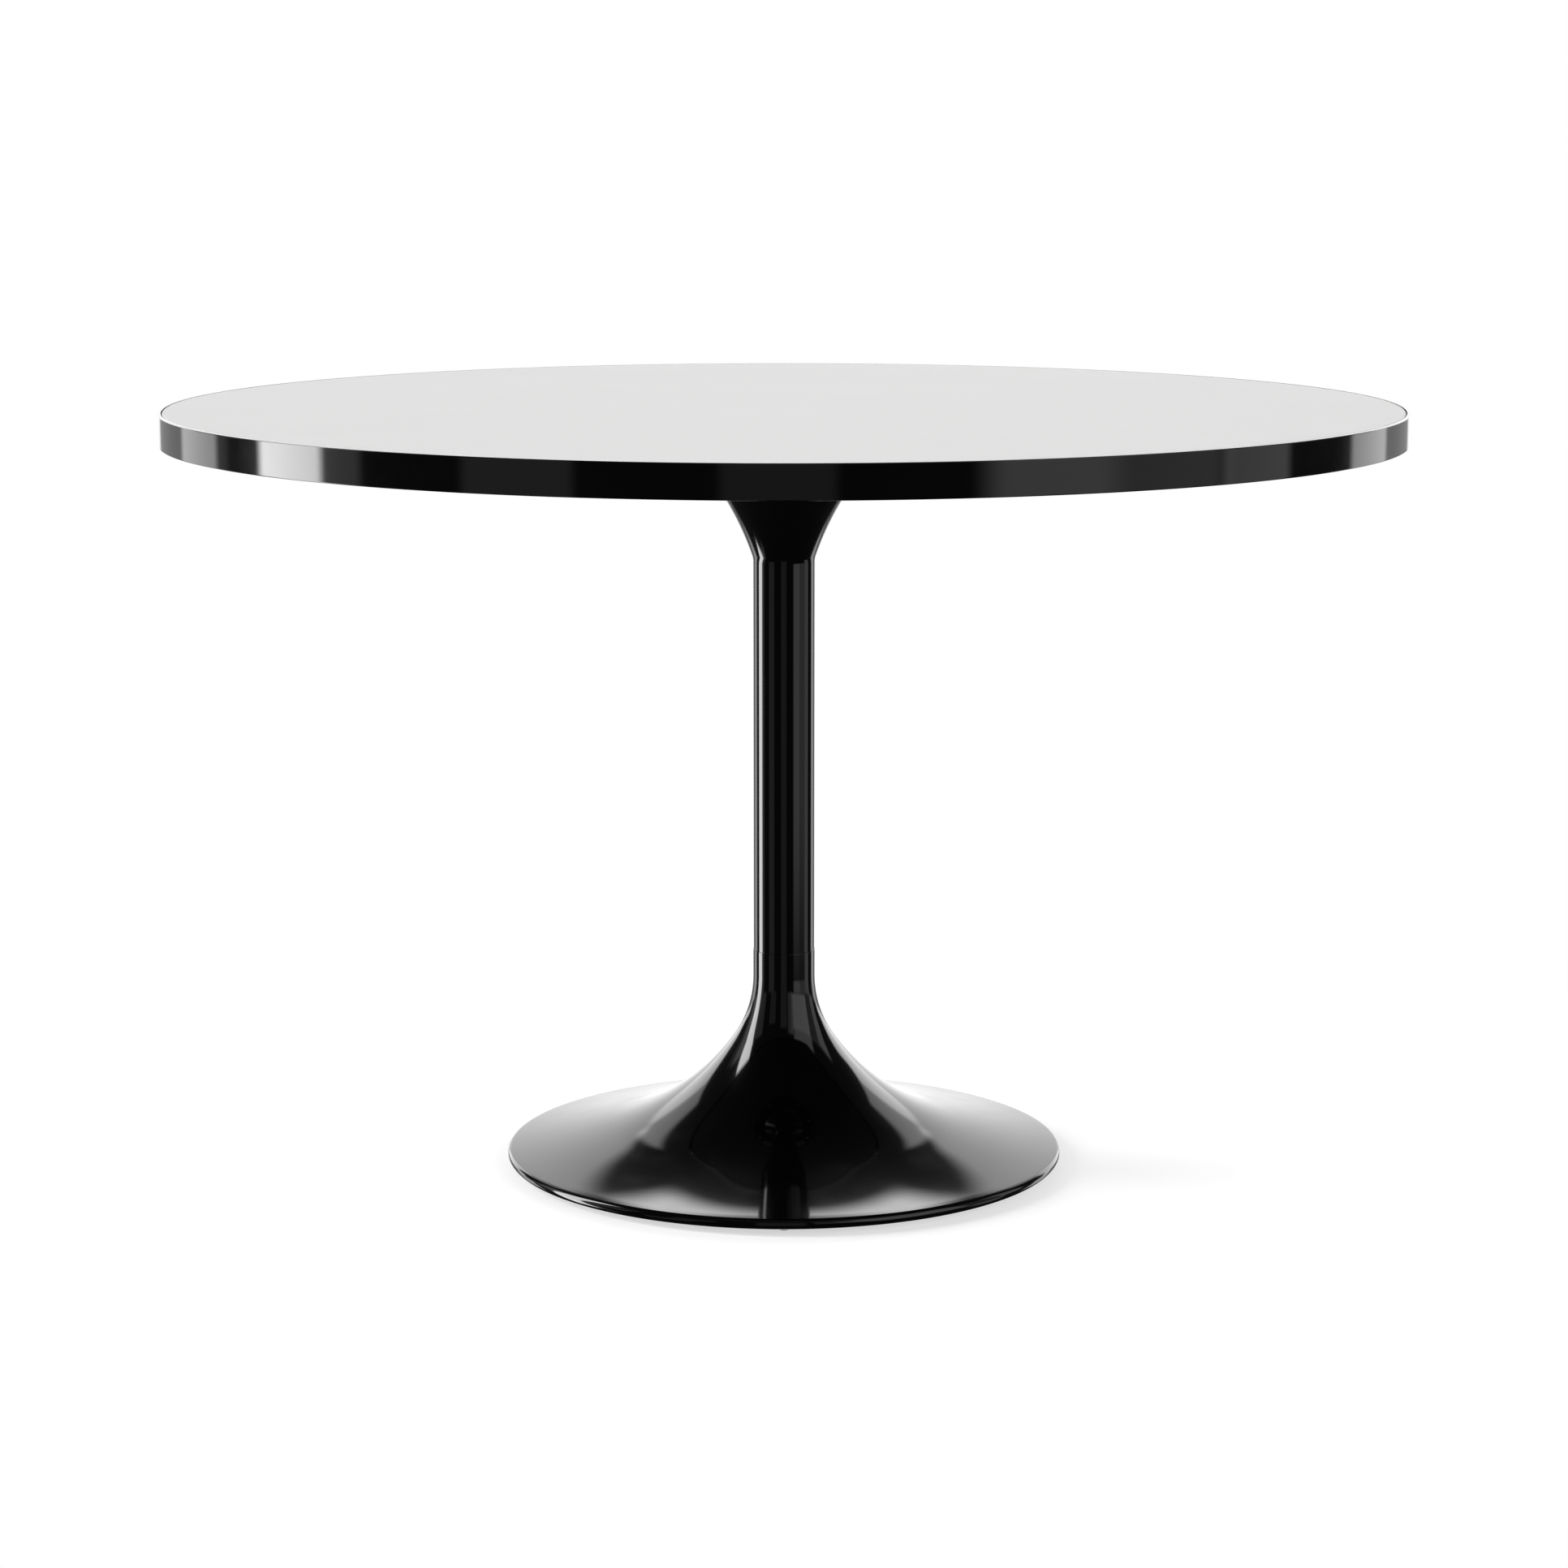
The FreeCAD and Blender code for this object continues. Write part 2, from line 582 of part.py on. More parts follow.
def make_column():
    """Column tube, and the two sleeves inside it that centre the flare and the base's neck."""
    tube = ring("column_tube", "column_diameter / 2", COLUMN_BORE,
                "(%s) - base_height" % FLARE_SEAM, "base_height")
    upper = joint_sleeve("upper_joint_sleeve", FLARE_SEAM, COLUMN_BORE)
    lower = joint_sleeve("lower_joint_sleeve", "base_height", NECK_BORE)
    return [tube, upper, lower]


def joint_sleeve(label, seam, lower_bore):
    """Sleeve across a seam: its lower half fits the bore below, its upper half the one above."""
    body = new_body(label, seam + " - sleeve_length / 2")
    inner = COLUMN_BORE + " - sleeve_clearance - sleeve_wall"
    for name, bore, height in (("lower", lower_bore, "0"), ("upper", COLUMN_BORE, "sleeve_length / 2")):
        sketch = new_sketch(body, "%s_%s_half" % (label, name), "XY_Plane", height)
        circle(sketch, bore + " - sleeve_clearance")
        circle(sketch, inner)
        pad(body, sketch, "sleeve_length / 2")
    return body


def make_base_weight():
    """Cast-iron weight: a hub on the tie rod, a flat ring, and an edge that follows the shell."""
    body = new_body("base_weight")
    sketch = new_sketch(body, "weight_outline", "XZ_Plane")
    flange = base_curves(sketch, "(shell_wall + weight_gap)", construction=True)[1]
    edge_radius = value("base_diameter / 2 - weight_inset")
    plateau = value(WEIGHT_BOTTOM + " + weight_thickness")
    centre = sketch.getPoint(flange, 3)
    radius = (sketch.getPoint(flange, 1) - centre).Length
    top_angle = math.pi + math.asin((centre.y - plateau) / radius)
    edge_angle = math.pi + math.acos((centre.x - edge_radius) / radius)
    slope = arc(sketch, centre, radius, top_angle, edge_angle)
    sketch.addConstraint(Sketcher.Constraint("Coincident", slope, 3, flange, 3))
    sketch.addConstraint(Sketcher.Constraint("Equal", slope, flange))
    dimension(sketch, "DistanceY", (-1, 1, slope, 1), WEIGHT_BOTTOM + " + weight_thickness")
    dimension(sketch, "DistanceX", (-1, 1, slope, 2), "base_diameter / 2 - weight_inset")

    shoulder = "recess_diameter / 2 + weight_hub_wall"
    corners = (("base_diameter / 2 - weight_inset", WEIGHT_BOTTOM),
               ("recess_diameter / 2 + recess_taper", WEIGHT_BOTTOM),
               ("recess_diameter / 2", "recess_height"), ("rod_hole / 2", "recess_height"),
               ("rod_hole / 2", "weight_hub_top"), ("weight_hub_diameter / 2", "weight_hub_top"),
               (shoulder, "recess_height + weight_hub_wall"),
               (shoulder + " + recess_taper", WEIGHT_BOTTOM + " + weight_thickness"))
    points = [Vector(value(across), value(up), 0) for across, up in corners]
    last, last_end = slope, 2
    for start, point, corner in zip([sketch.getPoint(slope, 2)] + points, points, corners):
        edge = sketch.addGeometry(Part.LineSegment(start, point), False)
        sketch.addConstraint(Sketcher.Constraint("Coincident", last, last_end, edge, 1))
        pin(sketch, edge, 2, *corner)
        last, last_end = edge, 2
    join(sketch, last, last_end, slope, 1)
    turn(body, sketch)

    hole = new_sketch(body, "stem_hole", "XY_Plane", WEIGHT_BOTTOM)
    circle(hole, "stem_size / 2 + thread_clearance", "foot_circle / 2")
    repeat(body, pocket(body, hole, "weight_thickness"), str(len(FEET)))
    return body


def make_tie_rod():
    """Threaded rod down the column, with its nuts and washers."""
    radius = "rod_size / 2"
    inner = radius + " - rod_chamfer"
    bottom = NUT_BOTTOM + " - rod_tail"
    length = "(%s) - rod_top_gap - (%s)" % (PLATE_BOTTOM, bottom)
    rod = turned("tie_rod", (("0", "0"), (inner, "0"), (radius, "rod_chamfer"),
                             (radius, length + " - rod_chamfer"), (inner, length), ("0", length)), bottom)

    bore = radius + " + thread_clearance"
    nuts = []
    for label, height in (("rod_jam_nut", HUB_BOTTOM + " - nut_height"), ("base_nut", NUT_BOTTOM)):
        body = new_body(label, height)
        sketch = new_sketch(body, label + "_section", "XY_Plane")
        hexagon(sketch, "nut_flats")
        circle(sketch, bore)
        pad(body, sketch, "nut_height")
        nuts.append(body)

    washer = ring("base_washer", "big_washer_diameter / 2", bore, "big_washer_thickness",
                  "recess_height - big_washer_thickness")

    split = ring("lock_washer", "lock_washer_diameter / 2", bore, "lock_washer_thickness",
                 "recess_height - big_washer_thickness - lock_washer_thickness")
    sketch = new_sketch(split, "lock_washer_slot", "XY_Plane")
    half = "lock_washer_slot / 2"
    polygon(sketch, (("0", "-" + half), ("lock_washer_diameter", "-" + half),
                     ("lock_washer_diameter", half), ("0", half)))
    pocket(split, sketch, "lock_washer_thickness")
    return [rod] + nuts + [washer, split]


# ---------------------------------------------------------------- glides

def make_foot(name, angle):
    """One glide: a domed cap on the floor, and the threaded stem whose head turns inside it."""
    outer = "cap_diameter / 2"
    head = "stem_head / 2"
    stem = "stem_size / 2"
    ceiling = "cap_height - cap_lip"
    place = ("0", "foot_circle / 2", angle)
    cap = turned("foot_%s_cap" % name, (("0", "0"), (outer, "0"), (outer, "cap_height"),
                                        (stem + " + cap_play", "cap_height"),
                                        (stem + " + cap_play", ceiling),
                                        (head + " + cap_play", ceiling),
                                        (head + " + cap_play", "cap_floor"), ("0", "cap_floor")), *place)
    dress(cap, "Fillet", outer, "0", "Radius", "cap_rounding")

    reach = WEIGHT_BOTTOM + " + stem_reach - shell_wall"
    low = "cap_floor + cap_play"
    high = ceiling + " - cap_play"
    screw = turned("foot_%s_stem" % name, (("0", low), (head, low), (head, high), (stem, high),
                                           (stem, reach + " - stem_chamfer"),
                                           (stem + " - stem_chamfer", reach),
                                           ("0", reach)), *place)
    return [cap, screw]


# ---------------------------------------------------------------- build and write

def build():
    """Make every sub-part and return them in a list."""
    parts = [make_edge_band()]
    parts += make_board()
    parts.append(make_band_screws())
    parts += make_fixings()
    parts += make_top_plate()
    parts.append(make_upper_flare())
    parts += make_column()
    parts.append(make_base_shell())
    parts.append(make_base_weight())
    parts += make_tie_rod()
    for name, angle in FEET:
        parts += make_foot(name, angle)
    return parts


def write(parts):
    """Check the whole document, then write each sub-part to its own file."""
    document.recompute()
    for item in document.Objects:
        if "Invalid" in item.State or "Error" in item.State:
            raise RuntimeError("%s failed: %s" % (item.Label, item.State))
    for part in parts:
        if part.Shape.isNull() or not part.Shape.isValid():
            raise RuntimeError("%s has no valid shape" % part.Label)
        if part.TypeId == "PartDesign::Body" and len(part.Shape.Solids) != 1:
            raise RuntimeError("%s is not one solid" % part.Label)
    os.makedirs("parts", exist_ok=True)
    for part in parts:
        part.Shape.exportStep("parts/%s.step" % part.Label)
        print("%-20s %d solid(s) %12.1f mm3" % (part.Label, len(part.Shape.Solids), part.Shape.Volume))


fill_sheet()
write(build())
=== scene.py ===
import math

import bpy
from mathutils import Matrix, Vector


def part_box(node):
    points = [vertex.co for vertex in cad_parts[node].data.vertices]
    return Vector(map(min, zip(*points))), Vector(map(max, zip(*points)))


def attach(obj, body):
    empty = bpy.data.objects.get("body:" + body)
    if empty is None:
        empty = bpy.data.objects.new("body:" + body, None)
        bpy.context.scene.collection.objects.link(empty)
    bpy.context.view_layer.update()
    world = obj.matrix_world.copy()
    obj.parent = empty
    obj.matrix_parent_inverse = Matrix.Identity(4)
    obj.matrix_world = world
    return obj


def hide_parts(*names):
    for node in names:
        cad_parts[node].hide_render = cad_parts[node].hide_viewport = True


# Round pedestal table: white laminate top in a black steel band, on a slim column with a flared head and
# a wide spun base. Metres; the floor is z = 0 and the column stands on the z axis.
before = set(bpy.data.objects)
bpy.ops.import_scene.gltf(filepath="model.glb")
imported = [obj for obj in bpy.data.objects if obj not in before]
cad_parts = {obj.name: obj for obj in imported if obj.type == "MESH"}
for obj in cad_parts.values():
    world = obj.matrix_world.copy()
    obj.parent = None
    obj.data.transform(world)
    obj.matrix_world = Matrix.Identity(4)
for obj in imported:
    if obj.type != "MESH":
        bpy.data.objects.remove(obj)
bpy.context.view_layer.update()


# ---------------------------------------------------------------- edge band
# Strip of 3.5 mm steel rolled into a hoop, welded, ground and lacquered gloss black. Its inward lip
# carries the board, and twelve countersunk holes in the lip take the wood screws that hold it.

class Tone:
    """One output in a finish's node tree. Arithmetic on it adds Math nodes."""

    def __init__(self, tree, socket=None):
        self.tree = tree
        self.socket = socket

    def node(self, kind, settings=None, sockets=None, output=0):
        """Add any node: its settings first, a ramp's stops among them, then its sockets."""
        made = self.tree.nodes.new(kind)
        for name, setting in (settings or {}).items():
            if name == "stops":
                while len(made.color_ramp.elements) < len(setting):
                    made.color_ramp.elements.new(1.0)
                for element, (place, colour) in zip(made.color_ramp.elements, setting):
                    element.position = place
                    element.color = colour
            else:
                setattr(made, name, setting)
        for name, given in (sockets or {}).items():
            if isinstance(given, Tone):
                self.tree.links.new(given.socket, made.inputs[name])
            else:
                made.inputs[name].default_value = given
        return Tone(self.tree, made.outputs[output])

    def maths(self, operation, *values):
        return self.node("ShaderNodeMath", {"operation": operation}, dict(enumerate(values)))

    def __add__(self, other):
        return self.maths("ADD", self, other)

    __radd__ = __add__

    def __sub__(self, other):
        return self.maths("SUBTRACT", self, other)

    def __rsub__(self, other):
        return self.maths("SUBTRACT", other, self)

    def __mul__(self, other):
        return self.maths("MULTIPLY", self, other)

    __rmul__ = __mul__

    def __truediv__(self, other):
        return self.maths("DIVIDE", self, other)

    def rise(self, low, high):
        """0 below low, 1 above high, with a smooth step between."""
        return self.node("ShaderNodeMapRange", {"interpolation_type": "SMOOTHSTEP"},
                         {"Value": self, "From Min": low, "From Max": high})

    def blend(self, dark, light):
        """Colour between dark at 0 and light at 1."""
        return self.node("ShaderNodeMix", {"data_type": "RGBA"}, {0: self, 6: dark, 7: light}, output=2)

    def noise(self, size, detail=2.0, roughness=0.5):
        """Cloudy pattern on the object's own coordinates, its features about this size."""
        place = self.node("ShaderNodeTexCoord", output=3)
        return self.node("ShaderNodeTexNoise", None,
                         {"Vector": place, "Scale": 1.0 / size, "Detail": detail, "Roughness": roughness})

    def bump(self, depth, before=None):
        """Surface normal raised by this pattern; depth is in metres."""
        sockets = {"Height": self, "Distance": depth, "Strength": 1.0}
        if before is not None:
            sockets["Normal"] = before
        return self.node("ShaderNodeBump", None, sockets)


def new_finish(name, **constants):
    """Start a finish: a Principled shader with its constant sockets set, and its tree's Tone."""
    material = bpy.data.materials.new(name)
    material.use_nodes = True
    shader = material.node_tree.nodes["Principled BSDF"]
    for socket, setting in constants.items():
        shader.inputs[socket.replace("_", " ")].default_value = setting
    return material, shader, Tone(material.node_tree)


def feed(shader, **tones):
    """Link varying tones to the shader's sockets."""
    for socket, tone in tones.items():
        tone.tree.links.new(tone.socket, shader.inputs[socket.replace("_", " ")])


def gloss_lacquer():
    """Baked gloss lacquer: near-black under a clear coat, with faint orange peel, dust and wipe marks."""
    material, shader, start = new_finish("black_lacquer", Coat_Weight=1.0, Coat_Roughness=0.04,
                                         Specular_IOR_Level=0.04)
    cloud = start.noise(0.11, 3.0)
    wipes = start.noise(0.03, 3.0).rise(0.45, 0.75)
    dust = start.noise(0.0011, 1.0).rise(0.68, 0.76) * start.noise(0.05, 2.0).rise(0.5, 0.7)
    depth = cloud.blend((0.0012, 0.0012, 0.0013, 1), (0.0020, 0.0020, 0.0020, 1))
    feed(shader, Base_Color=(dust * 0.05).blend(depth, (0.08, 0.08, 0.075, 1)),
         Roughness=0.16 + wipes * 0.06 + dust * 0.1,
         Normal=start.noise(0.006, 1.0).bump(0.0000022))
    return material


black_lacquer = gloss_lacquer()


def outline(path):
    """Draw an outline in the x-z plane from one vertex: straight runs, and arcs turned about a centre."""
    bpy.ops.object.select_all(action="DESELECT")
    (_, first_r, first_z), runs = path[0], path[1:]
    bpy.ops.mesh.primitive_plane_add(size=0.001, location=(0, 0, 0))
    drawn = bpy.context.object
    bpy.ops.object.mode_set(mode="EDIT")
    bpy.ops.mesh.merge(type="CENTER")
    bpy.ops.transform.translate(value=(first_r, 0, first_z))
    here = Vector((first_r, 0, first_z))
    for kind, *sizes in runs:
        if kind == "to":
            there = Vector((sizes[0], 0, sizes[1]))
            bpy.ops.mesh.extrude_vertices_move(TRANSFORM_OT_translate={"value": there - here})
        else:
            centre, turned, steps = Vector((sizes[0], 0, sizes[1])), math.radians(sizes[2]), sizes[3]
            bpy.ops.mesh.spin(steps=steps, angle=-turned, center=centre, axis=(0, 1, 0))
            arm = here - centre
            there = centre + Vector((arm.x * math.cos(turned) + arm.z * math.sin(turned), 0,
                                     arm.z * math.cos(turned) - arm.x * math.sin(turned)))
        here = there
    return drawn


def spun(name, path, turns, finish, wall=0.0, smooth=30.0):
    """Spin an outline about the z axis into one closed piece; an open outline is given a wall inwards."""
    piece = outline(path)
    bpy.ops.mesh.select_all(action="SELECT")
    bpy.ops.mesh.spin(steps=turns, angle=math.tau, center=(0, 0, 0), axis=(0, 0, 1))
    bpy.ops.mesh.select_all(action="SELECT")
    bpy.ops.mesh.remove_doubles(threshold=0.000002)
    bpy.ops.mesh.normals_make_consistent(inside=False)
    bpy.ops.object.mode_set(mode="OBJECT")
    lean = sum(face.normal.x * face.center.x + face.normal.y * face.center.y
               for face in piece.data.polygons)
    if wall and lean < 0:
        bpy.ops.object.mode_set(mode="EDIT")
        bpy.ops.mesh.flip_normals()
        bpy.ops.object.mode_set(mode="OBJECT")
    piece.name = piece.data.name = name
    if wall:
        thick = piece.modifiers.new("wall", "SOLIDIFY")
        thick.thickness = wall
        thick.offset = -1.0
        thick.use_even_offset = True
        bpy.ops.object.modifier_apply(modifier=thick.name)
    coat(piece, finish, smooth)
    return piece


def coat(piece, finish, smooth=30.0):
    """Give a piece its finish and smooth it across edges flatter than an angle."""
    piece.data.materials.clear()
    piece.data.materials.append(finish)
    bpy.ops.object.select_all(action="DESELECT")
    piece.select_set(True)
    bpy.context.view_layer.objects.active = piece
    bpy.ops.object.shade_smooth_by_angle(angle=math.radians(smooth))


def settle(piece, place=(0, 0, 0)):
    """Move a piece to its place and leave that place in its mesh."""
    bpy.ops.object.select_all(action="DESELECT")
    piece.select_set(True)
    bpy.context.view_layer.objects.active = piece
    bpy.ops.transform.translate(value=place)
    bpy.ops.object.transform_apply(location=True, rotation=True, scale=True)


def copy_of(piece, name):
    """Copy a piece with a mesh of its own."""
    twin = piece.copy()
    twin.data = piece.data.copy()
    twin.name = twin.data.name = name
    bpy.context.scene.collection.objects.link(twin)
    return twin


def round_the_axis(piece, name, count, radius):
    """Copies of a piece made on the z axis, set evenly on a circle, the first at +x."""
    ring = []
    for index in range(count):
        angle = math.tau * index / count
        twin = copy_of(piece, "%s_%d" % (name, index + 1))
        twin.rotation_euler = (0, 0, angle)
        settle(twin, (radius * math.cos(angle), radius * math.sin(angle), 0))
        ring.append(twin)
    bpy.data.objects.remove(piece)
    return ring


def carve(piece, tools, operation="DIFFERENCE"):
    """Cut a piece with other closed shapes, or keep what they share, then drop those shapes."""
    for tool in tools:
        bpy.ops.object.select_all(action="DESELECT")
        piece.select_set(True)
        bpy.context.view_layer.objects.active = piece
        cut = piece.modifiers.new("cut", "BOOLEAN")
        cut.operation = operation
        cut.object = tool
        cut.solver = "EXACT"
        bpy.ops.object.modifier_apply(modifier=cut.name)
        bpy.data.objects.remove(tool)


def joined(shapes):
    """Join separate shapes into one, to cut with them all at once."""
    bpy.ops.object.select_all(action="DESELECT")
    for shape in shapes:
        shape.select_set(True)
    bpy.context.view_layer.objects.active = shapes[0]
    bpy.ops.object.join()
    return shapes[0]


TURNS = 360
band_low, band_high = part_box("edge_band")
band_r, band_wall, lip_reach, lip_t = band_high.x, 0.0035, 0.0185, 0.003
band_bottom, band_top = band_low.z, band_high.z
lip_r = band_r - band_wall - lip_reach
soft_foot, soft_rim, soft_inside, flat_from = 0.0008, 0.0006, 0.0004, 0.0002
edge_band = spun("band", [
    ("from", lip_r, band_bottom),
    ("to", band_r - soft_foot, band_bottom),
    ("arc", band_r - soft_foot, band_bottom + soft_foot, -90, 6),
    ("to", band_r, band_bottom + soft_foot + flat_from),
    ("to", band_r, band_top - soft_rim - flat_from),
    ("to", band_r, band_top - soft_rim),
    ("arc", band_r - soft_rim, band_top - soft_rim, -90, 5),
    ("to", band_r - band_wall + soft_inside, band_top),
    ("arc", band_r - band_wall + soft_inside, band_top - soft_inside, -90, 4),
    ("to", band_r - band_wall, band_bottom + lip_t),
    ("to", lip_r, band_bottom + lip_t),
    ("to", lip_r, band_bottom),
], TURNS, black_lacquer)

screw_inset, screw_head_r, screw_shank_r, screw_play = 0.013, 0.0038, 0.002, 0.00005
screw_r = band_r - screw_inset
sink_depth = screw_head_r - screw_shank_r
clear_of = 0.0005
sink = spun("sink", [
    ("from", 0, band_bottom - clear_of),
    ("to", screw_head_r + screw_play + clear_of, band_bottom - clear_of),
    ("to", screw_shank_r + screw_play, band_bottom + sink_depth),
    ("to", screw_shank_r + screw_play, band_bottom + lip_t + clear_of),
    ("to", 0, band_bottom + lip_t + clear_of),
], 28, black_lacquer)
SCREWS = 12
carve(edge_band, [joined(round_the_axis(sink, "sink", SCREWS, screw_r))])
coat(edge_band, black_lacquer)
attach(edge_band, "table")
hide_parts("edge_band")


# ---------------------------------------------------------------- white laminate face
# High-pressure laminate, satin white, pressed on to the board and bevelled round its edge with a router.
# It stands 1 mm clear of the band all round, which leaves the thin dark line at the rim.

def satin_laminate():
    """White laminate: a fine pebbled press texture and almost no change of colour."""
    material, shader, start = new_finish("white_laminate", Specular_IOR_Level=0.25)
    cloud = start.noise(0.16, 3.0)
    pebble = start.noise(0.0009, 2.0)
    grain = start.noise(0.00032, 1.0)
    feed(shader, Base_Color=cloud.blend((0.80, 0.80, 0.795, 1), (0.835, 0.835, 0.83, 1)),
         Roughness=0.36 + pebble * 0.12,
         Normal=grain.bump(0.000004, pebble.bump(0.000012)))
    return material


white_laminate = satin_laminate()
face_low, face_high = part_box("top_face")
face_r, face_bevel = face_high.x, 0.0009
bevel_across, bevel_left, bevel_end, flat_start = 0.88, 0.12, 1.4, 1.8     # shares of the bevel
third = face_r * 0.33
top_face = spun("laminate_face", [
    ("from", 0, face_low.z),
    ("to", face_r, face_low.z),
    ("to", face_r, face_high.z - face_bevel),
    ("to", face_r - face_bevel * bevel_across, face_high.z - face_bevel * bevel_left),
    ("to", face_r - face_bevel * bevel_end, face_high.z),
    ("to", face_r - face_bevel * flat_start, face_high.z),
    ("to", third * 2, face_high.z),
    ("to", third, face_high.z),
    ("to", 0, face_high.z),
], TURNS, white_laminate)
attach(top_face, "table")
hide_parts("top_face")


# ---------------------------------------------------------------- board and backing sheet
# The board is chipboard, seen only down the thin gap at the rim. A dark balance laminate under it keeps
# it flat. Both are the CAD's own solids, with their holes for inserts and screws.

def chipboard():
    """Pressed wood chips: pale and dark flakes with glue between them."""
    material, shader, start = new_finish("chipboard", Specular_IOR_Level=0.3)
    place = start.node("ShaderNodeTexCoord", output=3)
    flakes = start.node("ShaderNodeTexVoronoi", {"feature": "F1"},
                        {"Vector": place, "Scale": 420.0, "Randomness": 1.0}, output=0)
    tint = start.noise(0.0035, 3.0)
    feed(shader, Base_Color=tint.blend((0.36, 0.25, 0.15, 1), (0.66, 0.52, 0.36, 1)),
         Roughness=0.82 - flakes * 0.1,
         Normal=flakes.bump(0.0003))
    return material


def backing_laminate():
    """Dark balance laminate: matt, with a fine crossed press texture."""
    material, shader, start = new_finish("backing_laminate", Specular_IOR_Level=0.35)
    cloud = start.noise(0.09, 3.0)
    weave = start.noise(0.0011, 2.0)
    feed(shader, Base_Color=cloud.blend((0.020, 0.020, 0.021, 1), (0.032, 0.031, 0.031, 1)),
         Roughness=0.5 + weave * 0.14,
         Normal=weave.bump(0.00003))
    return material


def refinish(finish, *nodes):
    """Give carried-over CAD nodes a finish."""
    for node in nodes:
        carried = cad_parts[node]
        if not carried.material_slots:
            carried.data.materials.append(finish)
        for place in carried.material_slots:
            place.material = finish


refinish(chipboard(), "top_core")
refinish(backing_laminate(), "backing_sheet")


# ---------------------------------------------------------------- band screws
# Twelve countersunk wood screws, 4 x 18 mm, bright zinc, with a hexagon socket. They pass through the
# band's lip up into the board.

def bright_zinc(name, pitch=0.0):
    """Zinc plate on steel: bluish grey with a faint bloom; a pitch adds the thread's ridges."""
    material, shader, start = new_finish(name, Metallic=1.0)
    bloom = start.noise(0.004, 3.0)
    fine = start.noise(0.0007, 2.0)
    normal = fine.bump(0.00001)
    if pitch:
        place = start.node("ShaderNodeTexCoord", output=3)
        height = place.node("ShaderNodeSeparateXYZ", None, {"Vector": place}, output=2)
        turns = height / pitch
        ridge = turns.maths("PINGPONG", turns, 0.5) * 2
        thread_depth = pitch * 0.35
        normal = ridge.rise(0.1, 0.9).bump(thread_depth, normal)
    feed(shader, Base_Color=bloom.blend((0.50, 0.52, 0.55, 1), (0.66, 0.68, 0.70, 1)),
         Roughness=0.24 + fine * 0.16, Normal=normal)
    return material


zinc = bright_zinc("zinc_steel")


def socket_cut(flats, low, depth):
    """Hexagon bit that cuts a socket upwards from a height."""
    bpy.ops.object.select_all(action="DESELECT")
    bpy.ops.mesh.primitive_cylinder_add(vertices=6, radius=flats / math.sqrt(3), depth=depth + clear_of,
                                        location=(0, 0, low + (depth - clear_of) / 2))
    bit = bpy.context.object
    bpy.ops.object.mode_set(mode="EDIT")
    bpy.ops.mesh.select_all(action="SELECT")
    bpy.ops.transform.rotate(value=math.radians(30), orient_axis="Z", center_override=(0, 0, 0))
    bpy.ops.object.mode_set(mode="OBJECT")
    settle(bit)
    return bit


screw_tip_r, screw_length, tip_length = 0.001, 0.018, 0.004
band_screw = spun("screw", [
    ("from", 0, band_bottom),
    ("to", screw_head_r, band_bottom),
    ("to", screw_shank_r, band_bottom + sink_depth),
    ("to", screw_shank_r, band_bottom + screw_length - tip_length),
    ("to", screw_tip_r, band_bottom + screw_length),
    ("to", 0, band_bottom + screw_length),
], 28, zinc)
screw_flats = 0.0026
carve(band_screw, [socket_cut(screw_flats, band_bottom, sink_depth)])
for screw in round_the_axis(band_screw, "band_screw", SCREWS, screw_r):
    coat(screw, zinc)
    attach(screw, "table")
    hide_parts("band_screws")


# ---------------------------------------------------------------- mounting plate
# Laser-cut steel disc, 6 mm thick, lacquered with the pedestal. It is screwed up into eight inserts in
# the board, and the flare is welded under it.

plate_low, plate_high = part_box("top_plate")
plate_r, plate_edge = plate_high.x, 0.0006
plate = spun("mounting_plate", [
    ("from", 0, plate_low.z),
    ("to", plate_r * 0.5, plate_low.z),
    ("to", plate_r - plate_edge, plate_low.z),
    ("arc", plate_r - plate_edge, plate_low.z + plate_edge, -90, 4),
    ("to", plate_r, plate_high.z - plate_edge),
    ("arc", plate_r - plate_edge, plate_high.z - plate_edge, -90, 4),
    ("to", 0, plate_high.z),
], 240, black_lacquer)
BOLTS, bolt_circle, bolt_hole = 8, 0.150, 0.0035
bore = spun("bore", [
    ("from", 0, plate_low.z - clear_of),
    ("to", bolt_hole, plate_low.z - clear_of),
    ("to", bolt_hole, plate_high.z + clear_of),
    ("to", 0, plate_high.z + clear_of),
], 32, black_lacquer)
carve(plate, [joined(round_the_axis(bore, "bore", BOLTS, bolt_circle))])
coat(plate, black_lacquer)
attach(plate, "table")
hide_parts("top_plate")
refinish(black_lacquer, "top_hub")
refinish(zinc, "threaded_inserts", "rod_jam_nut")


# ---------------------------------------------------------------- plate screws and washers
# Eight M6 machine screws with hexagon sockets, each on a plain washer, bright zinc. They hold the
# mounting plate to the board's inserts.

washer_low, washer_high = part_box("plate_washers")
washer_r, washer_bore, washer_edge = washer_high.x - bolt_circle, 0.00305, 0.0002
washer = spun("washer", [
    ("from", washer_bore, washer_low.z),
    ("to", washer_r - washer_edge, washer_low.z),
    ("to", washer_r, washer_low.z + washer_edge),
    ("to", washer_r, washer_high.z),
    ("to", washer_bore, washer_high.z),
    ("to", washer_bore, washer_low.z),
], 48, zinc)
for each in round_the_axis(washer, "plate_washer", BOLTS, bolt_circle):
    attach(each, "table")
    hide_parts("plate_washers")

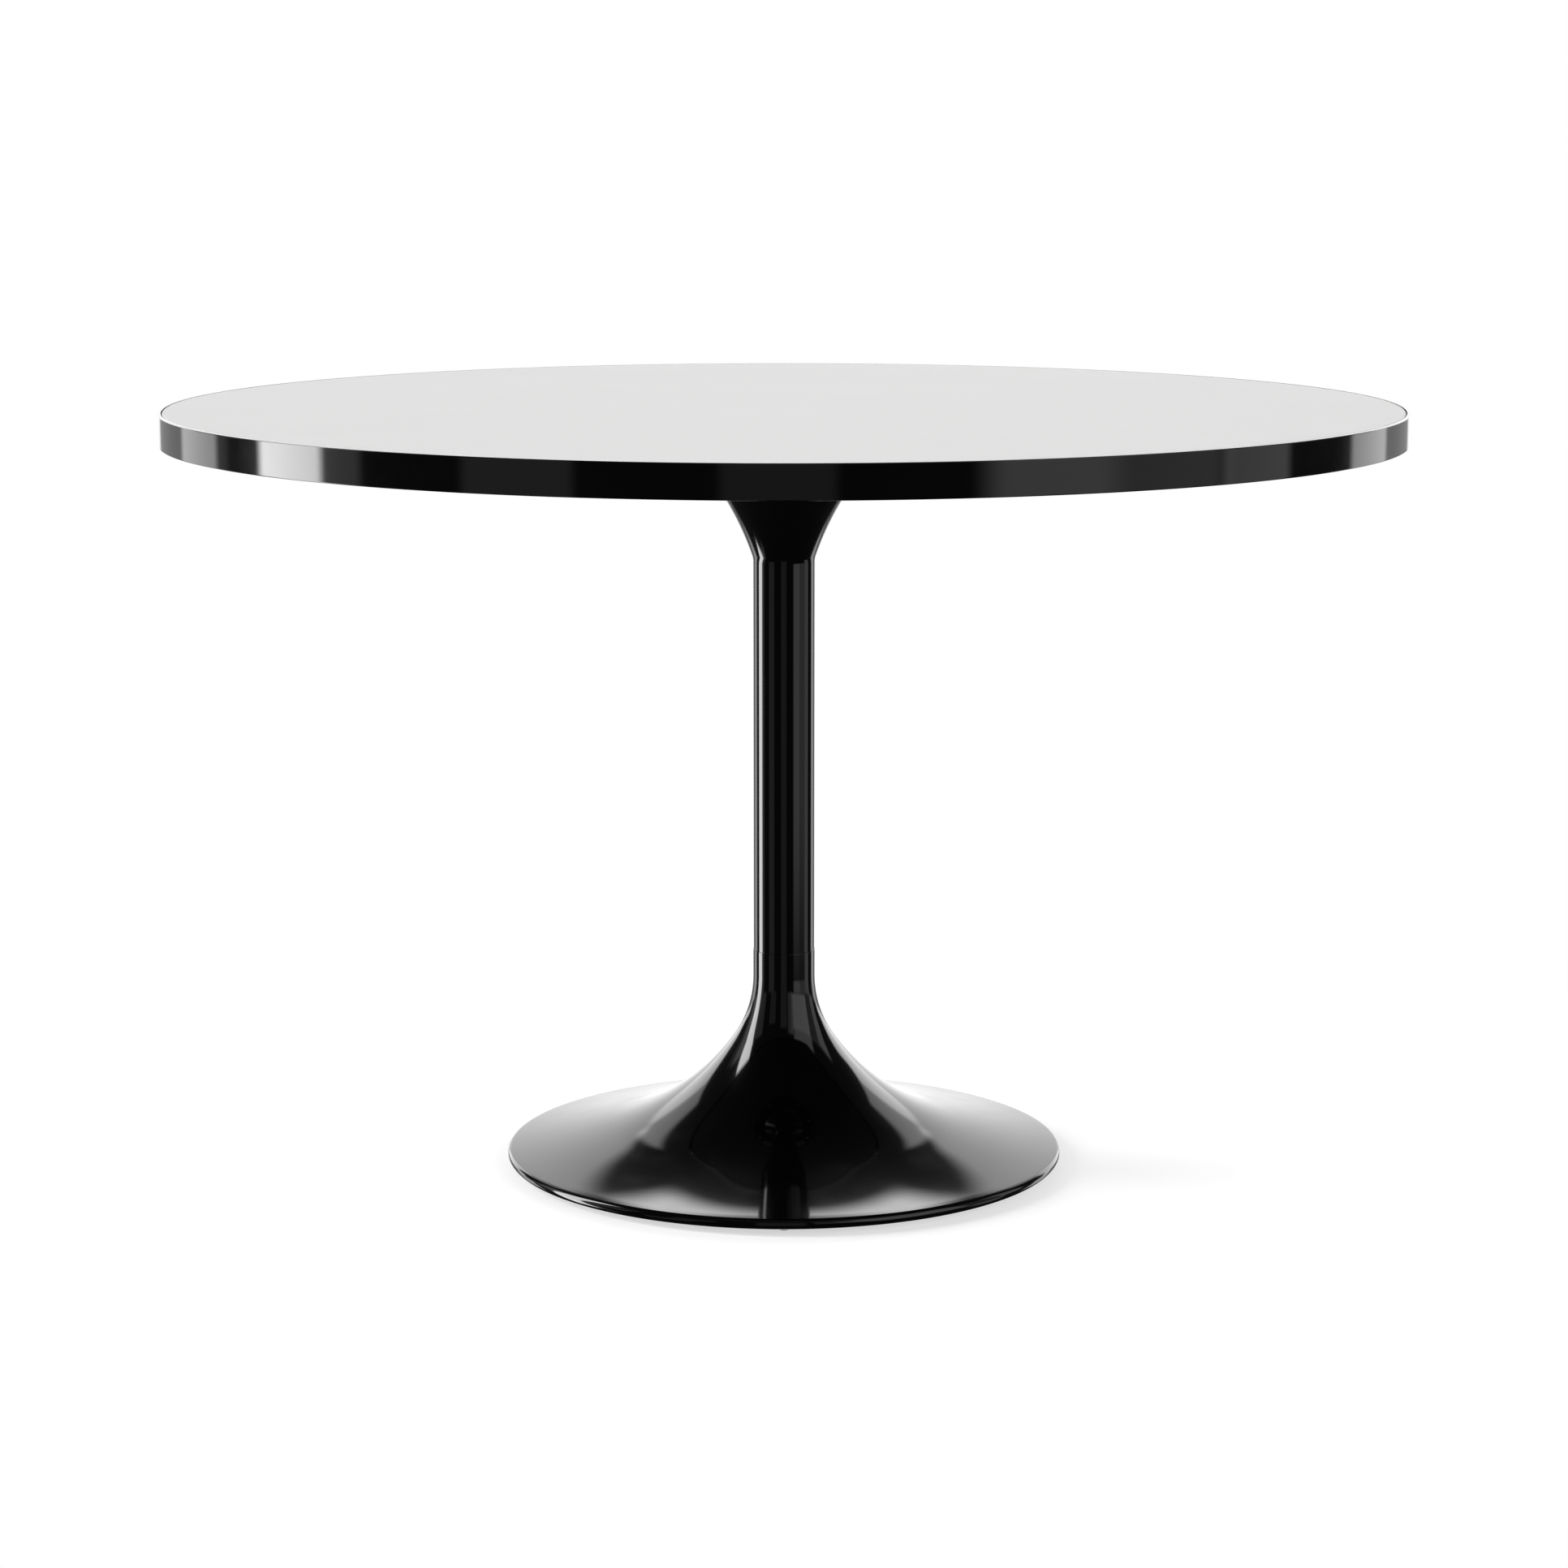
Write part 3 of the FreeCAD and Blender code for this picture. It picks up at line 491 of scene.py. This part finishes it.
bolt_low, bolt_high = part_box("plate_screws")
bolt_head_r, bolt_chamfer, bolt_r = bolt_high.x - bolt_circle, 0.001, 0.003
bolt_flats, bolt_socket = 0.004, 0.002
bolt = spun("bolt", [
    ("from", 0, bolt_low.z),
    ("to", bolt_head_r - bolt_chamfer, bolt_low.z),
    ("arc", bolt_head_r - bolt_chamfer, bolt_low.z + bolt_chamfer, -90, 5),
    ("to", bolt_head_r, washer_low.z),
    ("to", bolt_r, washer_low.z),
    ("to", bolt_r, bolt_high.z),
    ("to", 0, bolt_high.z),
], 48, zinc)
carve(bolt, [socket_cut(bolt_flats, bolt_low.z, bolt_socket)])
for each in round_the_axis(bolt, "plate_screw", BOLTS, bolt_circle):
    coat(each, zinc)
    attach(each, "table")
    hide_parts("plate_screws")


# ---------------------------------------------------------------- flared head
# Steel trumpet, metal-spun from 3 mm tube and polished before lacquering: a quick curve off the column,
# then one long curve out to the mounting plate.

flare_low, flare_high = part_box("upper_flare")
column_low, column_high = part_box("column_tube")
column_r, tube_wall = column_high.x, 0.003
knee_r, knee_turn, sweep_r = 0.0176, 19.3, 0.2805
knee_x = column_r + knee_r
away = sweep_r - knee_r
sweep_x = knee_x + away * math.cos(math.radians(knee_turn))
sweep_z = flare_low.z - away * math.sin(math.radians(knee_turn))
sweep_turn = math.degrees(math.asin((flare_high.z - sweep_z) / sweep_r)) - knee_turn
flare = spun("flared_head", [
    ("from", column_r, flare_low.z),
    ("arc", knee_x, flare_low.z, knee_turn, 10),
    ("arc", sweep_x, sweep_z, sweep_turn, 22),
], 256, black_lacquer, wall=tube_wall)
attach(flare, "table")
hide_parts("upper_flare")


# ---------------------------------------------------------------- column
# Seamless steel tube, 60.5 mm across, ground and lacquered. Turned steel sleeves inside centre it on the
# flared head above and on the base's neck below.

seam_edge = 0.00006
column = spun("column", [
    ("from", column_r - tube_wall, column_low.z),
    ("to", column_r - seam_edge, column_low.z),
    ("to", column_r, column_low.z + seam_edge),
    ("to", column_r, column_high.z - seam_edge),
    ("to", column_r - seam_edge, column_high.z),
    ("to", column_r - tube_wall, column_high.z),
    ("to", column_r - tube_wall, column_low.z),
], 256, black_lacquer)
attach(column, "table")
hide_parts("column_tube")


def turned_steel():
    """Bare steel off the lathe: fine rings round the axis and a film of oil."""
    material, shader, start = new_finish("turned_steel", Metallic=1.0)
    place = start.node("ShaderNodeTexCoord", output=3)
    height = place.node("ShaderNodeSeparateXYZ", None, {"Vector": place}, output=2)
    cutter_step = 0.0004
    rings = height.maths("PINGPONG", height / cutter_step, 0.5)
    oil = start.noise(0.012, 3.0)
    feed(shader, Base_Color=oil.blend((0.40, 0.39, 0.38, 1), (0.56, 0.56, 0.56, 1)),
         Roughness=0.3 + oil * 0.2, Normal=rings.bump(0.00004))
    return material


refinish(turned_steel(), "upper_joint_sleeve", "lower_joint_sleeve")


# ---------------------------------------------------------------- base shell
# Spun from one 3.5 mm steel disc: a short straight collar, a trumpet curve out to a shallow cone, and a
# rim rolled under to a narrow hem. Polished, then lacquered with the column.

shell_low, shell_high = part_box("base_shell")
neck_step, neck_length = 0.0005, 0.0265
neck_r = column_r + neck_step
first_r, first_turn, bell_r = 0.1063, 34.95, 0.2324
roll_r, hem_reach, shell_wall = 0.0053, 0.005, 0.0035
neck_z = shell_high.z - neck_length
first_x = neck_r + first_r
spread = bell_r - first_r
bell = Vector((first_x + spread * math.cos(math.radians(first_turn)), 0,
               neck_z + spread * math.sin(math.radians(first_turn))))
roll = Vector((shell_high.x - roll_r, 0, shell_low.z + roll_r))
flange_r = 0.895


def flange_centre(bell_reach, roll_reach):
    """Centre of the shallow curve that touches both the bell curve and the rim's roll."""
    apart = (roll - bell).length
    along = (bell_reach ** 2 - roll_reach ** 2 + apart ** 2) / (2 * apart)
    aside = math.sqrt(bell_reach ** 2 - along ** 2)
    unit = (roll - bell) / apart
    return bell + unit * along + Vector((-unit.z, 0, unit.x)) * aside


flange = flange_centre(flange_r - bell_r, flange_r + roll_r)
start_slope = math.degrees(math.atan2(flange.x - bell.x, flange.z - bell.z))
end_slope = math.degrees(math.atan2(flange.x - roll.x, flange.z - roll.z))
collar_edge = 0.0003
base = spun("base_shell_spun", [
    ("from", neck_r - shell_wall, shell_high.z),
    ("to", neck_r - collar_edge, shell_high.z),
    ("arc", neck_r - collar_edge, shell_high.z - collar_edge, 90, 4),
    ("to", neck_r, shell_high.z - 2 * collar_edge),
    ("to", neck_r, neck_z + collar_edge),
    ("to", neck_r, neck_z),
    ("arc", first_x, neck_z, -first_turn, 18),
    ("arc", bell.x, bell.z, first_turn + start_slope - 90, 24),
    ("arc", flange.x, flange.z, end_slope - start_slope, 12),
    ("arc", roll.x, roll.z, 180 - end_slope, 40),
    ("to", roll.x - hem_reach, shell_low.z),
    ("to", roll.x - hem_reach, shell_low.z + shell_wall),
    ("to", roll.x, shell_low.z + shell_wall),
    ("arc", roll.x, roll.z, end_slope - 180, 20),
    ("arc", flange.x, flange.z, start_slope - end_slope, 12),
    ("arc", bell.x, bell.z, 90 - first_turn - start_slope, 24),
    ("arc", first_x, neck_z, first_turn, 18),
    ("to", neck_r - shell_wall, shell_high.z),
], TURNS, black_lacquer)
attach(base, "table")
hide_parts("base_shell")


# ---------------------------------------------------------------- iron weight
# Grey-iron casting painted black, hidden under the base shell: a hub on the tie rod, a flat ring with
# four tapped holes for the glides, and a sloped edge that follows the shell.

def painted_casting():
    """Sand-cast iron under brushed black paint: coarse skin, a few pits, dull sheen."""
    material, shader, start = new_finish("cast_iron", Specular_IOR_Level=0.45)
    skin = start.noise(0.0022, 4.0, 0.65)
    lumps = start.noise(0.03, 2.0)
    pits = 1 - start.noise(0.006, 2.0).rise(0.28, 0.36)
    feed(shader, Base_Color=lumps.blend((0.022, 0.022, 0.023, 1), (0.042, 0.041, 0.040, 1)),
         Roughness=0.52 + skin * 0.22,
         Normal=(skin * 0.6 + lumps - pits * 0.5).bump(0.0007))
    return material


cast_iron = painted_casting()
weight_low, weight_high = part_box("base_weight")
ring_top, recess_top, recess_r, recess_taper = 0.022, 0.024, 0.050, 0.008
recess_soft, recess_turn, weight_edge = 0.002, 64, 0.001
hub_r, hub_wall, rod_hole, shell_gap = 0.030, 0.010, 0.0065, 0.0008
weight_r = weight_high.x
under_r = flange_r + shell_wall + shell_gap
ring_slope = math.degrees(math.acos((flange.z - ring_top) / under_r))
edge_slope = math.degrees(math.asin((flange.x - weight_r) / under_r))
edge_top = flange.z - under_r * math.cos(math.radians(edge_slope))
weight = spun("weight_casting", [
    ("from", rod_hole, recess_top),
    ("to", recess_r - recess_soft, recess_top),
    ("arc", recess_r - recess_soft, recess_top - recess_soft, recess_turn, 4),
    ("to", recess_r + recess_taper, weight_low.z),
    ("to", weight_r - weight_edge, weight_low.z),
    ("to", weight_r, weight_low.z + weight_edge),
    ("to", weight_r, edge_top),
    ("arc", flange.x, flange.z, ring_slope - edge_slope, 8),
    ("to", recess_r + hub_wall + recess_taper, ring_top),
    ("to", recess_r + hub_wall, recess_top + hub_wall),
    ("to", hub_r, weight_high.z),
    ("to", rod_hole, weight_high.z),
    ("to", rod_hole, recess_top),
], 200, cast_iron)
GLIDES = (("front", 0, -1), ("right", 1, 0), ("back", 0, 1), ("left", -1, 0))
glide_circle, stem_r, stem_play = 0.252, 0.004, 0.00005
tapping = spun("tapping", [
    ("from", 0, weight_low.z - clear_of),
    ("to", stem_r + stem_play, weight_low.z - clear_of),
    ("to", stem_r + stem_play, ring_top + clear_of),
    ("to", 0, ring_top + clear_of),
], 32, cast_iron)
carve(weight, [joined(round_the_axis(tapping, "tapping", len(GLIDES), glide_circle))])
coat(weight, cast_iron)
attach(weight, "table")
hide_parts("base_weight")


# ---------------------------------------------------------------- tie rod, nut and washers
# M12 threaded rod from the hub under the board down through the weight. A big plain washer, a split
# washer and a nut in the weight's recess draw the whole pedestal together.

rod_low, rod_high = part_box("tie_rod")
rod_r, rod_chamfer = rod_high.x, 0.0015
rod_thread = bright_zinc("zinc_thread", pitch=0.00175)
rod = spun("tie_rod_threaded", [
    ("from", 0, rod_low.z),
    ("to", rod_r - rod_chamfer, rod_low.z),
    ("to", rod_r, rod_low.z + rod_chamfer),
    ("to", rod_r, rod_high.z - rod_chamfer),
    ("to", rod_r - rod_chamfer, rod_high.z),
    ("to", 0, rod_high.z),
], 64, rod_thread)
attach(rod, "table")
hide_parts("tie_rod")

nut_low, nut_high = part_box("base_nut")
nut_flats, nut_crown, nut_bore, nut_lead = 0.018, 0.0009, 0.00605, 0.0007
nut_r = nut_flats / math.sqrt(3) + 0.0002
nut = spun("base_nut_turned", [
    ("from", 0, nut_low.z),
    ("to", nut_flats / 2, nut_low.z),
    ("to", nut_r, nut_low.z + nut_crown),
    ("to", nut_r, nut_high.z - nut_crown),
    ("to", nut_flats / 2, nut_high.z),
    ("to", 0, nut_high.z),
], 96, zinc)
nut_hexagon = socket_cut(nut_flats, nut_low.z - clear_of, nut_high.z - nut_low.z + 2 * clear_of)
carve(nut, [nut_hexagon], "INTERSECT")
nut_hole = spun("nut_hole", [
    ("from", 0, nut_low.z - clear_of),
    ("to", nut_bore + nut_lead + clear_of, nut_low.z - clear_of),
    ("to", nut_bore, nut_low.z + nut_lead),
    ("to", nut_bore, nut_high.z + clear_of),
    ("to", 0, nut_high.z + clear_of),
], 48, zinc)
carve(nut, [nut_hole])
coat(nut, zinc)
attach(nut, "table")
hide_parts("base_nut")

big_low, big_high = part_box("base_washer")
big_r, big_edge = big_high.x, 0.0004
big_washer = spun("base_washer_pressed", [
    ("from", nut_bore, big_low.z),
    ("to", big_r - big_edge, big_low.z),
    ("arc", big_r - big_edge, big_low.z + big_edge, -90, 4),
    ("to", big_r, big_high.z),
    ("to", nut_bore, big_high.z),
    ("to", nut_bore, big_low.z),
], 96, zinc)
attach(big_washer, "table")
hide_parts("base_washer")

split_low, split_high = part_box("lock_washer")
split_r, split_edge, split_cut, slit_shift = -split_low.x, 0.0003, 0.002, 0.001
split_washer = spun("lock_washer_split", [
    ("from", nut_bore, split_low.z),
    ("to", split_r - split_edge, split_low.z),
    ("arc", split_r - split_edge, split_low.z + split_edge, -90, 3),
    ("to", split_r, split_high.z),
    ("to", nut_bore, split_high.z),
    ("to", nut_bore, split_low.z),
], 72, zinc)
bpy.ops.object.select_all(action="DESELECT")
bpy.ops.mesh.primitive_cube_add(
    size=1.0, location=(split_r / 2 + slit_shift, 0, (split_low.z + split_high.z) / 2),
    scale=(split_r, split_cut, split_high.z - split_low.z + 2 * clear_of))
slit = bpy.context.object
settle(slit)
carve(split_washer, [slit])
coat(split_washer, zinc)
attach(split_washer, "table")
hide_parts("lock_washer")


# ---------------------------------------------------------------- glides
# Four levelling glides under the weight: a domed black nylon cap, snapped over the round head of an M8
# zinc stem that screws up into the casting.

def black_nylon():
    """Moulded nylon: dark, dull, with a fine spark-eroded texture."""
    material, shader, start = new_finish("black_nylon", Specular_IOR_Level=0.45)
    grain = start.noise(0.0005, 2.0)
    cloud = start.noise(0.006, 2.0)
    feed(shader, Base_Color=cloud.blend((0.016, 0.016, 0.016, 1), (0.026, 0.026, 0.025, 1)),
         Roughness=0.42 + grain * 0.2, Normal=grain.bump(0.00003))
    return material


nylon = black_nylon()
stem_thread = bright_zinc("zinc_stem_thread", pitch=0.00125)
cap_low, cap_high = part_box("foot_front_cap")
stem_low, stem_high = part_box("foot_front_stem")
cap_r, head_r = (cap_high.x - cap_low.x) / 2, (stem_high.x - stem_low.x) / 2
cap_dome, cap_edge, cap_floor, cap_lip, cap_play = 0.0046, 0.0004, 0.0022, 0.0012, 0.00006
stem_chamfer = 0.001
cap = spun("cap", [
    ("from", 0, cap_low.z),
    ("to", cap_r - cap_dome, cap_low.z),
    ("arc", cap_r - cap_dome, cap_low.z + cap_dome, -90, 12),
    ("to", cap_r, cap_high.z - cap_edge),
    ("arc", cap_r - cap_edge, cap_high.z - cap_edge, -90, 3),
    ("to", stem_r + cap_play, cap_high.z),
    ("to", stem_r + cap_play, cap_high.z - cap_lip),
    ("to", head_r + cap_play, cap_high.z - cap_lip),
    ("to", head_r + cap_play, cap_low.z + cap_floor),
    ("to", 0, cap_low.z + cap_floor),
], 64, nylon)
head_top = cap_high.z - cap_lip - cap_play
stem = spun("stem", [
    ("from", 0, stem_low.z),
    ("to", head_r, stem_low.z),
    ("to", head_r, head_top),
    ("to", stem_r, head_top),
    ("to", stem_r, stem_high.z - stem_chamfer),
    ("to", stem_r - stem_chamfer, stem_high.z),
    ("to", 0, stem_high.z),
], 48, stem_thread)
for side, across, along in GLIDES:
    place = (glide_circle * across, glide_circle * along, 0)
    own_cap = copy_of(cap, "glide_%s_cap" % side)
    settle(own_cap, place)
    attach(own_cap, "foot_" + side)
    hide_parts("foot_%s_cap" % side)
    own_stem = copy_of(stem, "glide_%s_stem" % side)
    settle(own_stem, place)
    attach(own_stem, "foot_%s_screw" % side)
    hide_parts("foot_%s_stem" % side)
bpy.data.objects.remove(cap)
bpy.data.objects.remove(stem)


# ---------------------------------------------------------------- floor
# Pale matt sheet under the table. It thins out at its edge, so the white behind it takes over with no line,
# and it is clear from below, so the underside can be seen.

floor_r, thin_from, thin_to = 1.4, 0.5, 1.25
bpy.ops.object.select_all(action="DESELECT")
bpy.ops.mesh.primitive_circle_add(vertices=128, radius=floor_r, fill_type="NGON", location=(0, 0, 0))
floor = bpy.context.object
floor.name = "floor_sheet"
sheet, sheet_shader, start = new_finish("pale_sheet", Specular_IOR_Level=0.2, Emission_Strength=0.6,
                                        Emission_Color=(1, 1, 1, 1))
place = start.node("ShaderNodeTexCoord", output=3)
away = place.node("ShaderNodeVectorMath", {"operation": "LENGTH"}, {0: place}, output=1)
sheet_tint = start.noise(0.05, 3.0).blend((0.93, 0.93, 0.925, 1), (0.95, 0.95, 0.945, 1))
feed(sheet_shader, Base_Color=sheet_tint,
     Roughness=0.7 + start.noise(0.004, 2.0) * 0.1)
clear = start.node("ShaderNodeBsdfTransparent")
pale = Tone(start.tree, sheet_shader.outputs[0])
from_below = start.node("ShaderNodeNewGeometry", output=6)
thinned = away.rise(thin_from, thin_to)
thinned = thinned.maths("MAXIMUM", thinned, from_below)
seen = start.node("ShaderNodeMixShader", None, {0: thinned, 1: pale, 2: clear})
sheet.node_tree.links.new(seen.socket, sheet.node_tree.nodes["Material Output"].inputs["Surface"])
floor.data.materials.append(sheet)
floor.visible_glossy = False
floor.visible_diffuse = False


# ---------------------------------------------------------------- studio
# White cove behind, and lit panels standing round the table against a dark room. Azimuth is 0 at the
# camera's side and grows towards +x; turned_away is the same for left and right, and 180 behind the
# table. The camera itself sees plain white past the floor's edge.

world = bpy.data.worlds.new("studio")
bpy.context.scene.world = world
world.use_nodes = True
sky = Tone(world.node_tree)
toward = sky.node("ShaderNodeTexCoord", output=0)
along_x = toward.node("ShaderNodeSeparateXYZ", None, {"Vector": toward}, output=0)
along_y = toward.node("ShaderNodeSeparateXYZ", None, {"Vector": toward}, output=1)
upward = toward.node("ShaderNodeSeparateXYZ", None, {"Vector": toward}, output=2)
azimuth = along_x.maths("ARCTAN2", along_x, along_y * -1) * (180 / math.pi)
elevation = upward.maths("ARCSINE", upward) * (180 / math.pi)
turned_away = azimuth.maths("ABSOLUTE", azimuth)


def between(angle, low, high, soft):
    """1 between two angles and 0 outside them, with soft edges."""
    return angle.rise(low - soft, low + soft) * (1 - angle.rise(high - soft, high + soft))


def panel(bright, across, span, rise, soft=1.5):
    """Light of one panel: its brightness, and where it stands across and in height, in degrees."""
    soft_ends = 2
    return between(across, *span, soft) * between(elevation, *rise, soft_ends) * bright


light = (
    panel(9.3, azimuth, (-106.8, -89.6), (-35, 46))         # tall strip box on the left
    + panel(0.60, azimuth, (-118, -106.8), (-2, 36))        # its housing, and the flats on either side
    + panel(0.14, azimuth, (-124, -118), (-12, 33))
    + panel(0.45, azimuth, (-89.6, -80), (-40, -2))
    + panel(0.26, azimuth, (-89.6, -66), (-2, 37))
    + panel(0.22, azimuth, (-58, -37), (-22, -2))           # grey flats left of the camera
    + panel(0.14, azimuth, (-47, -28), (-2, 30))
    + panel(0.15, azimuth, (-11, 9), (-30, 36))             # gap round the camera
    + panel(0.28, azimuth, (12.5, 22), (-1, 42))            # window's frame
    + panel(0.50, azimuth, (22, 29), (-1, 42))
    + panel(1.12, azimuth, (29, 79), (0, 36), 3)            # big window on the right, and its blind above
    + panel(0.75, azimuth, (31, 81), (36, 47), 3)
    + panel(0.78, azimuth, (36, 60), (-12, -1), 4)          # sill under the window
    + panel(0.42, azimuth, (60, 84), (-12, -1), 4)
    + panel(0.18, azimuth, (81, 97), (-2, 38))              # wall beyond it
    + panel(0.72, azimuth, (98, 113), (-2, 36))
    + panel(0.62, azimuth, (84, 101), (-25, -2))
    + panel(1.50, turned_away, (122.5, 139.5), (-26, -2))   # low boxes at the back corners
    + panel(2.60, turned_away, (131, 140), (-2, 4))
    + panel(2.20, azimuth, (134, 140), (4, 20))
    + panel(0.30, turned_away, (139.5, 160), (-26, -2))
    + panel(2.25, turned_away, (140, 159), (-2, 26))        # high boxes behind them
    + panel(1.00, turned_away, (139, 162), (26, 37))
    + panel(1.15, turned_away, (160, 200), (-60, -2))       # white cove
    + panel(1.22, turned_away, (159, 200), (-2, 28.5))
    + panel(3.60, turned_away, (172, 200), (29, 36))        # lamp over the cove
    + elevation.rise(60, 70) * 1.68                         # overhead softbox
    + 0.03)
camera_sees = sky.node("ShaderNodeLightPath", output=0)
glow = light * (1 - camera_sees) + camera_sees
backdrop = world.node_tree.nodes["Background"]
world.node_tree.links.new(glow.socket, backdrop.inputs["Strength"])
backdrop.inputs["Color"].default_value = (1, 1, 1, 1)

# ---------------------------------------------------------------- camera
# Eye height a little over a metre, nearly four metres back, on a short telephoto lens.

camera_back, camera_height, camera_tilt = 3.781, 1.0496, math.radians(79.95)
bpy.ops.object.camera_add(location=(0, -camera_back, camera_height), rotation=(camera_tilt, 0, 0))
camera = bpy.context.object
camera.data.lens = 89.47
camera.data.sensor_width = 36.0
camera.data.dof.use_dof = False
bpy.context.scene.camera = camera
bpy.context.scene.view_settings.view_transform = "Standard"
